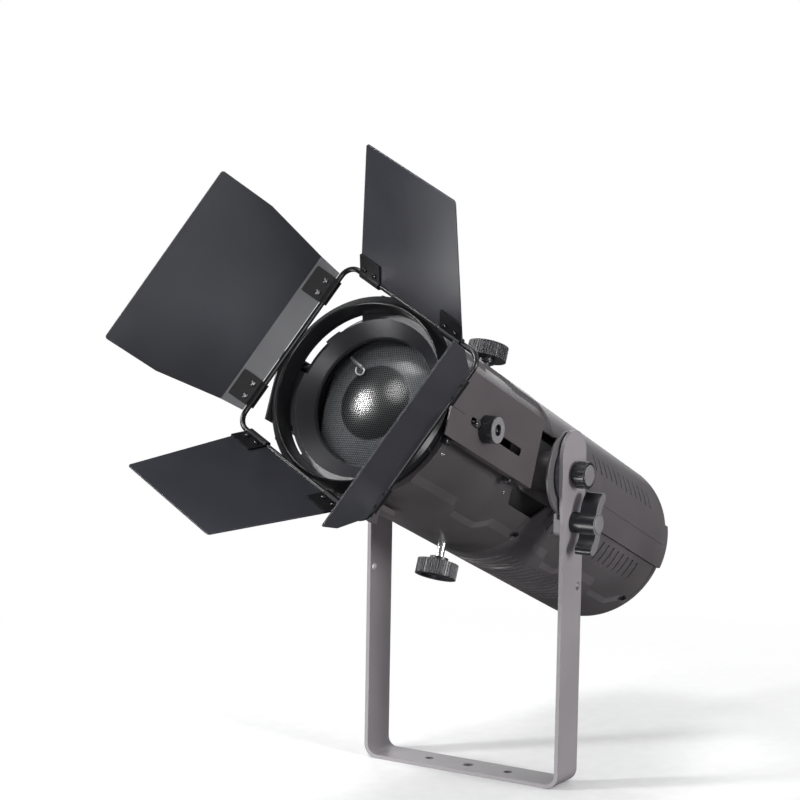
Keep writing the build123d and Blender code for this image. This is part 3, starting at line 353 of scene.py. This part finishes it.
BLACK_SCREW = metal("black_screw", (0.085, 0.085, 0.09), 0.18, radius=0.15)
# lighter copy of the body coat for the rear shells and cap: painted light standing in for light from below and
# behind
LIT_SHELL_COAT = coat("shell_lit_coat", (0.068, 0.062, 0.066), 0.40, grain=0.3, mottle=0.14)
DISC_COAT = coat("disc_powder_coat", (0.075, 0.070, 0.074), 0.40, grain=0.4, mottle=0.08,
                 edge=0.5, edge_colour=(0.3, 0.29, 0.3))
PIN_STEEL = metal("pin_steel", (0.78, 0.78, 0.78), 0.42, radius=0.2)
# nodes that look different from the rest of their slot
SPECIAL = {
    "rear_shell_upper": LIT_SHELL_COAT, "rear_shell_lower": LIT_SHELL_COAT, "rear_cap": LIT_SHELL_COAT,
    "pivot_discs": DISC_COAT,
    "front_bezel": BEZEL, "gate_plate": INNER_BLACK, "lens_carriage": INNER_BLACK,
    "gate_housing": INNER_BLACK, "condenser_holder": INNER_BLACK, "guide_rods": DARK_METAL,
    "plate_standoffs": DARK_METAL, "housing_screws": DARK_METAL,
    # the knobs' outer faces, turned towards the key light, painted grey: a painted sheen on black plastic
    "brake_knob": coat("brake_knob_plastic", KNOB_BLACK, 0.30, grain=0.35,
                       grain_scale=KNOB_GRAIN, edge_colour=KNOB_EDGE,
                       face=(ACROSS, outer_face("brake_knob", ACROSS), KNOB_GREY)),
    "focus_knob": coat("focus_knob_plastic", KNOB_BLACK, 0.30, grain=0.35,
                       grain_scale=KNOB_GRAIN, edge_colour=KNOB_EDGE,
                       face=(ACROSS, outer_face("focus_knob", ACROSS), (0.17, 0.163, 0.17))),
}
SPECIAL.update({f"hinges_{side}": HINGE_BLACK for side in LEAF_SIDES})
for name, node in frame["nodes"].items():
    finish = SPECIAL.get(name, FINISHES[SLOT_OF[name]])
    for material_slot in node.material_slots:
        material_slot.material = finish


# ---------------------------------------------------------------- pieces
SMOOTH_BELOW = radians(32)      # edges sharper than this stay sharp


def piece(name, shape, finish, body, matrix=None):
    """Make an object of a bmesh, finish it and let it ride on its body."""
    bmesh.ops.recalc_face_normals(shape, faces=shape.faces)
    mesh = bpy.data.meshes.new(name)
    shape.to_mesh(mesh)
    shape.free()
    if matrix:
        mesh.transform(matrix)
    made = bpy.data.objects.new(name, mesh)
    bpy.context.scene.collection.objects.link(made)
    mesh.materials.append(finish)
    mesh.shade_smooth()
    mesh.set_sharp_from_angle(angle=SMOOTH_BELOW)
    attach(made, body)
    return made


def merged(shapes):
    """One bmesh of several (bmesh, matrix) copies."""
    together = bmesh.new()
    for shape, matrix in shapes:
        copy = bpy.data.meshes.new("copy")
        shape.to_mesh(copy)
        copy.transform(matrix)
        together.from_mesh(copy)
        bpy.data.meshes.remove(copy)
    return together


def turned(profile, steps=48):
    """Closed solid turned about +Z from (radius, height) points in millimetres."""
    shape = bmesh.new()
    rings = []
    for radius, height in profile:
        if radius < 0.001:
            rings.append([shape.verts.new((0, 0, height * MM))])
        else:
            rings.append([shape.verts.new((radius * cos(2 * pi * step / steps) * MM,
                                           radius * sin(2 * pi * step / steps) * MM,
                                           height * MM)) for step in range(steps)])
    for lower, upper in zip(rings, rings[1:]):
        for step in range(steps):
            after = (step + 1) % steps
            corners = [lower[step % len(lower)], lower[after % len(lower)],
                       upper[after % len(upper)], upper[step % len(upper)]]
            unique = list(dict.fromkeys(corners))
            if len(unique) > 2:
                shape.faces.new(unique)
    return shape


def block(size, bevel):
    """Rounded block centred on the origin, sizes in millimetres."""
    shape = bmesh.new()
    bmesh.ops.create_cube(shape, size=1)
    bmesh.ops.scale(shape, vec=Vector(size) * MM, verts=shape.verts)
    bmesh.ops.bevel(shape, geom=shape.edges[:], offset=bevel * MM, segments=3, affect="EDGES",
                    profile=0.5)
    return shape


def cross_head(radius, dome, shaft_radius, shaft):
    """Pan-head screw along +Z with a cross recess, its bearing face at Z=0; sizes in mm."""
    recess_floor = dome * 0.45
    profile = [(0, -shaft), (shaft_radius, -shaft), (shaft_radius, 0), (radius * 0.97, 0),
               (radius, dome * 0.2), (radius * 0.94, dome * 0.55), (radius * 0.74, dome * 0.84),
               (radius * 0.45, dome * 0.97), (0, dome)]
    body = turned(profile, 32)
    bars = []
    arm, width = radius * 0.62, radius * 0.2
    for long, wide in ((arm, width), (width, arm)):
        bar = bmesh.new()
        bmesh.ops.create_cube(bar, size=1)
        bmesh.ops.scale(bar, vec=(2 * long * MM, 2 * wide * MM, dome * MM), verts=bar.verts)
        bars.append((bar, Matrix.Translation((0, 0, (recess_floor + dome / 2) * MM))))
    return carved(body, merged(bars))


def carved(body, cutter):
    """The first bmesh less the second."""
    objects = []
    for shape in (body, cutter):
        bmesh.ops.recalc_face_normals(shape, faces=shape.faces)
        mesh = bpy.data.meshes.new("carving")
        shape.to_mesh(mesh)
        shape.free()
        made = bpy.data.objects.new("carving", mesh)
        bpy.context.scene.collection.objects.link(made)
        objects.append(made)
    cut = objects[0].modifiers.new("cut", "BOOLEAN")
    cut.operation = "DIFFERENCE"
    cut.solver = "EXACT"
    cut.object = objects[1]
    cut.use_self = True
    bpy.context.view_layer.update()
    seen = objects[0].evaluated_get(bpy.context.evaluated_depsgraph_get())
    result = bmesh.new()
    result.from_mesh(seen.to_mesh())
    for made in objects:
        bpy.data.objects.remove(made)
    return result


def flat_tops(node):
    """Centre and outward normal of the largest flat face of each solid in a CAD node."""
    mesh = frame["nodes"][node].data
    keys = [tuple(round(c, 6) for c in vertex.co) for vertex in mesh.vertices]
    leader = {key: key for key in keys}

    def root(key):
        while leader[key] != key:
            key = leader[key]
        return key

    for polygon in mesh.polygons:
        first = root(keys[polygon.vertices[0]])
        for vertex in polygon.vertices[1:]:
            leader[root(keys[vertex])] = first
    planes = {}
    for polygon in mesh.polygons:
        normal = polygon.normal
        sheet = (root(keys[polygon.vertices[0]]), *(round(c, 2) for c in normal),
                 round(normal.dot(polygon.center), 5))
        area, corners, _ = planes.get(sheet, (0, set(), None))
        corners.update(keys[vertex] for vertex in polygon.vertices)
        planes[sheet] = (area + polygon.area, corners, normal.copy())
    best = {}
    for sheet, (area, corners, normal) in planes.items():
        if area > best.get(sheet[0], (0,))[0]:
            centre = sum((Vector(corner) for corner in corners), Vector()) / len(corners)
            best[sheet[0]] = (area, centre, normal)
    return [(centre, normal) for _, centre, normal in best.values()]


# ---------------------------------------------------------------- honeycomb lens (mm)
PILLOW_PITCH = 2.2              # a pillow's width across its flats
PILLOW_DEPTH = 0.08             # from a pillow's crown down to the groove around it
PILLOW_RING = (0.55, 0.7)       # a ring between groove and crown: part of the reach, of the depth
PILLOW_MARGIN = 0.3             # part of the pitch that stays free at the lens's rim
PILLOW_SHARP = radians(60)
RIM_HEIGHT = 6.0                # of the lens's plain edge below the dome
RIM_STEP = 1.5                  # below the dome, where the plain edge starts
INSET = 0.1                     # by which the lens is smaller than its CAD solid


def honeycomb_lens():
    """Domed lens moulded in small hexagonal pillows all over its front.
    Returns how far forward of the pivot it reaches, in millimetres."""
    low, high = lamp_span("front_lens", FORWARD)
    half_wide = lamp_span("front_lens", ACROSS)[1] - INSET
    half_high = lamp_span("front_lens", UPWARD)[1] - INSET
    rim = low + RIM_HEIGHT
    rise = high - rim
    curve = (rise ** 2 + half_high ** 2) / (2 * rise)

    def dome(x, y):
        return rim + sqrt(max(curve ** 2 - x * x - y * y, 0)) - (curve - rise)

    def kept(x, y):
        x = max(-half_wide, min(half_wide, x))
        reach = hypot(x, y)
        if reach > half_high:
            y *= sqrt(half_high ** 2 - x * x) / abs(y)
        return x, y

    shape = bmesh.new()
    pillow = shape.verts.layers.float.new("pillow")
    known = {}

    def corner(x, y, height):
        x, y = kept(x, y)
        key = (round(x, 2), round(y, 2))
        if key not in known:
            known[key] = shape.verts.new((x, y, dome(x, y) - PILLOW_DEPTH * (1 - height)))
            known[key][pillow] = height
        return known[key]

    reach = PILLOW_PITCH / sqrt(3)
    margin = PILLOW_PITCH * PILLOW_MARGIN
    ring_reach, ring_height = PILLOW_RING
    rows = int(half_high / (reach * 1.5)) + 1
    for row in range(-rows, rows + 1):
        y = row * reach * 1.5
        for column in range(-rows, rows + 1):
            x = (column + (row % 2) / 2) * PILLOW_PITCH
            if abs(x) > half_wide - margin or hypot(x, y) > half_high - margin:
                continue
            edge, ring = [], []
            for side in range(6):
                angle = radians(30 + 60 * side)
                away = (cos(angle) * reach, sin(angle) * reach)
                edge.append(corner(x + away[0], y + away[1], 0))
                ring.append(corner(x + away[0] * ring_reach, y + away[1] * ring_reach, ring_height))
            middle = corner(x, y, 1)
            for side in range(6):
                after = (side + 1) % 6
                sides = [edge[side], edge[after], ring[after], ring[side]]
                if len(set(sides)) > 2:
                    shape.faces.new(list(dict.fromkeys(sides)))
                shape.faces.new((ring[side], ring[after], middle))
    rim_edges = [edge for edge in shape.edges if edge.is_boundary]
    for depth in (rim - RIM_STEP, low + INSET):
        grown = bmesh.ops.extrude_edge_only(shape, edges=rim_edges)["geom"]
        for vertex in (item for item in grown if isinstance(item, bmesh.types.BMVert)):
            vertex.co.z = depth
        rim_edges = [item for item in grown if isinstance(item, bmesh.types.BMEdge)
                     and item.is_boundary]
    bmesh.ops.holes_fill(shape, edges=rim_edges, sides=0)
    bmesh.ops.triangulate(shape, faces=[face for face in shape.faces if len(face.verts) > 4])
    bmesh.ops.scale(shape, vec=(MM, MM, MM), verts=shape.verts)
    lens = piece("honeycomb_lens", shape, FINISHES["moulded"], "focus_carriage",
                 placed(PIVOT, FORWARD))
    lens.data.set_sharp_from_angle(angle=PILLOW_SHARP)
    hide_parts("front_lens")
    return high


LENS_FRONT = honeycomb_lens()


# ---------------------------------------------------------------- wires
def wire_piece(name, points, radius, finish, body):
    """Round wire along a smooth path of points, made into a mesh."""
    curve = bpy.data.curves.new(name, "CURVE")
    curve.dimensions = "3D"
    curve.bevel_depth = radius * MM
    curve.bevel_resolution = 4
    curve.use_fill_caps = True
    spline = curve.splines.new("BEZIER")
    spline.bezier_points.add(len(points) - 1)
    for knot, point in zip(spline.bezier_points, points):
        knot.co = point
        knot.handle_left_type = knot.handle_right_type = "AUTO"
    holder = bpy.data.objects.new(name + "_path", curve)
    bpy.context.scene.collection.objects.link(holder)
    bpy.context.view_layer.update()
    shape = bmesh.new()
    shape.from_mesh(holder.evaluated_get(bpy.context.evaluated_depsgraph_get()).to_mesh())
    bpy.data.objects.remove(holder)
    return piece(name, shape, finish, body)


# mm from the optical axis, degrees about it, mm forward of the lens's crown
PIN_PATH = ((57.8, 132.5, -10.0), (52, 131, -7.4), (45, 128, -5.0), (38, 123, -3.0))
HOOK_PATH = ((38, 123, -3.0), (33.5, 121, -1.6), (31, 125, -1.2), (33, 132, -1.6),
             (38, 134, -2.6), (42, 131, -3.6))
PIN_RADIUS, HOOK_RADIUS = 1.9, 0.7


def lens_spring():
    """Bent spring pin that holds the lens in its carriage, with a thin hook at its end."""
    for name, path, radius in (("lens_spring", PIN_PATH, PIN_RADIUS),
                               ("lens_spring_hook", HOOK_PATH, HOOK_RADIUS)):
        points = []
        for reach, angle, station in path:
            turn = radians(angle)
            points.append(lamp_point(reach * cos(turn), reach * sin(turn), LENS_FRONT + station))
        wire_piece(name, points, radius, PIN_STEEL, "focus_carriage")


lens_spring()

# ---------------------------------------------------------------- screws
# head radius, head height, shaft radius, shaft length, in mm
HINGE_SCREW = (2.7, 1.7, 1.5, 3.9)
TUBE_SCREW = (1.9, 0.9, 1.0, 2.0)
KNOB_SCREW = (3.1, 1.6, 1.2, 1.0)
FIRST_TURN, TURN_STEP = 0.3, 0.17        # so that no two recesses of a row stand alike


def place_screws(name, spots, sizes, finish, body):
    """One piece of equal screws, their bearing faces at the (centre, outward normal) spots."""
    head = cross_head(*sizes)
    shapes = [(head, placed(centre, normal, FORWARD.lerp(ACROSS, FIRST_TURN + TURN_STEP * index)))
              for index, (centre, normal) in enumerate(spots)]
    made = piece(name, merged(shapes), finish, body)
    head.free()
    return made


for side in LEAF_SIDES:
    node = f"screws_{side}"
    spots = [(centre - normal * HINGE_SCREW[1] * MM, normal) for centre, normal in flat_tops(node)]
    screws = place_screws(f"cross_screws_{side}", spots, HINGE_SCREW, BLACK_SCREW, f"leaf_{side}")
    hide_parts(node)

TUBE_RADIUS = 84.0
TUBE_SCREW_ANGLES = (-28, 208)
TUBE_SCREW_STATIONS = (64, 187)


def tube_spot(angle, station):
    """Point on the front tube, in metres, and the outward direction there."""
    outward = ACROSS * cos(radians(angle)) + UPWARD * sin(radians(angle))
    return PIVOT + (outward * TUBE_RADIUS + FORWARD * station) * MM, outward


place_screws("tube_screws", [tube_spot(angle, station) for angle in TUBE_SCREW_ANGLES
                             for station in TUBE_SCREW_STATIONS],
             TUBE_SCREW, FINISHES["steel"], "head")


# ---------------------------------------------------------------- small fittings (mm)
KNOB_SCREW_DEPTH = 3.2          # of its bearing face below the knob's face
FOOT_SIZE, FOOT_BEVEL = (7, 5.5, 8), 1.0
FOOT_STATIONS = (84, 208)
FOOT_INSET, FOOT_DROP = 8, 1.8  # of a foot's middle, in from a side plate's face and below its edge


def focus_screw():
    """Bright screw sunk in the middle of the focus knob."""
    low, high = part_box("focus_knob")
    middle = (low + high) / 2
    spot = Vector((high.x - KNOB_SCREW_DEPTH * MM, middle.y, middle.z))
    place_screws("focus_screw", [(spot, ACROSS)], KNOB_SCREW, SCREW_STEEL, "focus_knob")


focus_screw()


def plate_feet():
    """Dark spacer feet below the lower edges of both side plates."""
    low = lamp_span("side_plate_near", UPWARD)[0]
    outer = lamp_span("side_plate_near", ACROSS)[1]
    foot = block(FOOT_SIZE, FOOT_BEVEL)
    shapes = []
    for side in (1, -1):
        for station in FOOT_STATIONS:
            middle = lamp_point(side * (outer - FOOT_INSET), low - FOOT_DROP, station)
            shapes.append((foot, placed(middle, FORWARD)))
    piece("plate_feet", merged(shapes), FINISHES["black_plastic"], "head")
    foot.free()


plate_feet()

# ---------------------------------------------------------------- stage, light and camera
CAMERA_AZIMUTH, CAMERA_ELEVATION, CAMERA_ROLL = radians(31.76), radians(5.51), radians(0.98)
CAMERA_DISTANCE, CAMERA_LENS, CAMERA_SENSOR = 2.11912, 97.35, 36
CAMERA_SIDE, CAMERA_DROP = 0.07291, -0.06361
FLOOR_RADIUS = 9
FLOOR_FADE = (0.25, 0.9)        # metres from the yoke over which the floor turns white


def area_light(name, position, size, power):
    """Rectangular light that looks at the tilt axis and stays unseen itself."""
    light = bpy.data.lights.new(name, "AREA")
    light.shape, light.size, light.size_y = "RECTANGLE", *size
    light.energy = power
    holder = bpy.data.objects.new(name, light)
    bpy.context.scene.collection.objects.link(holder)
    holder.location = position
    holder.rotation_euler = (position - PIVOT).to_track_quat("Z", "Y").to_euler()
    holder.visible_camera = False


def white_world(above, below):
    """White behind the lamp for the camera; for lighting, brighter overhead than underfoot."""
    world = bpy.data.worlds.new("studio")
    bpy.context.scene.world = world
    world.use_nodes = True
    nodes, links = world.node_tree.nodes, world.node_tree.links
    shown = nodes["Background"]
    shown.inputs["Color"].default_value = (1, 1, 1, 1)
    lit = nodes.new("ShaderNodeBackground")
    lit.inputs["Color"].default_value = (0.96, 0.975, 1, 1)
    split = nodes.new("ShaderNodeSeparateXYZ")
    links.new(nodes.new("ShaderNodeTexCoord").outputs["Generated"], split.inputs[0])
    climb = nodes.new("ShaderNodeMapRange")
    for socket, number in (("From Min", -0.35), ("From Max", 0.5), ("To Min", below),
                           ("To Max", above)):
        climb.inputs[socket].default_value = number
    links.new(split.outputs["Z"], climb.inputs["Value"])
    links.new(climb.outputs["Result"], lit.inputs["Strength"])
    ray = nodes.new("ShaderNodeLightPath")
    mix = nodes.new("ShaderNodeMixShader")
    links.new(ray.outputs["Is Camera Ray"], mix.inputs[0])
    links.new(lit.outputs[0], mix.inputs[1])
    links.new(shown.outputs[0], mix.inputs[2])
    links.new(mix.outputs[0], nodes["World Output"].inputs["Surface"])


def studio_floor():
    """Pale floor that fades to white away from the lamp."""
    shape = bmesh.new()
    bmesh.ops.create_circle(shape, cap_ends=True, radius=FLOOR_RADIUS, segments=96)
    mesh = bpy.data.meshes.new("floor")
    shape.to_mesh(mesh)
    shape.free()
    floor = bpy.data.objects.new("floor", mesh)
    bpy.context.scene.collection.objects.link(floor)
    graph = Graph("floor_paper")
    far = graph.spread(graph.vectors("LENGTH", graph.place), *FLOOR_FADE)
    fleck = graph.spread(graph.noise(60, 4), 0.3, 0.7, 0.80, 0.84)
    tint = graph.node("ShaderNodeCombineColor")
    for channel in ("Red", "Green", "Blue"):
        graph.wire(fleck, tint.inputs[channel])
    graph.wire(tint.outputs["Color"], graph.shader.inputs["Base Color"])
    graph.shader.inputs["Roughness"].default_value = 0.7
    white = graph.node("ShaderNodeEmission")
    mix = graph.node("ShaderNodeMixShader")
    graph.wire(far, mix.inputs[0])
    graph.wire(graph.shader.outputs["BSDF"], mix.inputs[1])
    graph.wire(white.outputs["Emission"], mix.inputs[2])
    graph.wire(mix.outputs["Shader"], graph.tree.nodes["Material Output"].inputs["Surface"])
    mesh.materials.append(graph.material)
    floor.visible_diffuse = floor.visible_glossy = floor.visible_shadow = False


def photo_camera():
    """Camera that sees the lamp as the photograph does."""
    a, e, roll = CAMERA_AZIMUTH, CAMERA_ELEVATION, CAMERA_ROLL
    right = Vector((cos(a), sin(a), 0))
    back = Vector((sin(a) * cos(e), -cos(a) * cos(e), sin(e)))
    level = back.cross(right)
    x_dir = right * cos(roll) + level * sin(roll)
    y_dir = level * cos(roll) - right * sin(roll)
    data = bpy.data.cameras.new("camera")
    data.sensor_width, data.lens = CAMERA_SENSOR, CAMERA_LENS
    data.clip_start, data.clip_end = 0.1, 50
    camera = bpy.data.objects.new("camera", data)
    bpy.context.scene.collection.objects.link(camera)
    place = PIVOT + back * CAMERA_DISTANCE - x_dir * CAMERA_SIDE - y_dir * CAMERA_DROP
    turn = Matrix((x_dir, y_dir, back)).transposed().to_4x4()
    turn.translation = place
    camera.matrix_world = turn
    bpy.context.scene.camera = camera


white_world(above=0.26, below=0.06)
studio_floor()
photo_camera()
# name, where from the pivot (metres), size (metres), watts
LIGHTS = (
    ("key_right", (2.2, -0.25, 0.25), (0.7, 0.7), 50),
    ("front", (1.25, -1.68, -0.1), (0.7, 0.5), 14),
    ("front_low", (-0.9, -1.5, -0.75), (0.7, 0.5), 20),
    ("left_edge", (-2.3, -0.1, 0.65), (0.9, 1.2), 14),
    ("bounce_left", (-1.3, -0.3, -0.85), (0.6, 0.6), 7),
    ("rear", (-1.1, 2.1, 0.7), (1.6, 1.2), 13),
    ("softbox_left", (-1.32, -1.37, 1.01), (0.25, 0.25), 24),
    ("softbox_front", (-0.48, -1.52, 1.49), (0.25, 0.25), 7),
    ("overhead", (-0.32, -0.66, 1.85), (0.6, 0.5), 18),
    ("top_right", (1.5, 0.4, 1.5), (0.7, 0.7), 8),
)
for name, place, size, power in LIGHTS:
    area_light(name, PIVOT + Vector(place), size, power)

view = bpy.context.scene.view_settings
view.view_transform, view.look = "Standard", "None"
bpy.context.scene.cycles.use_denoising = True
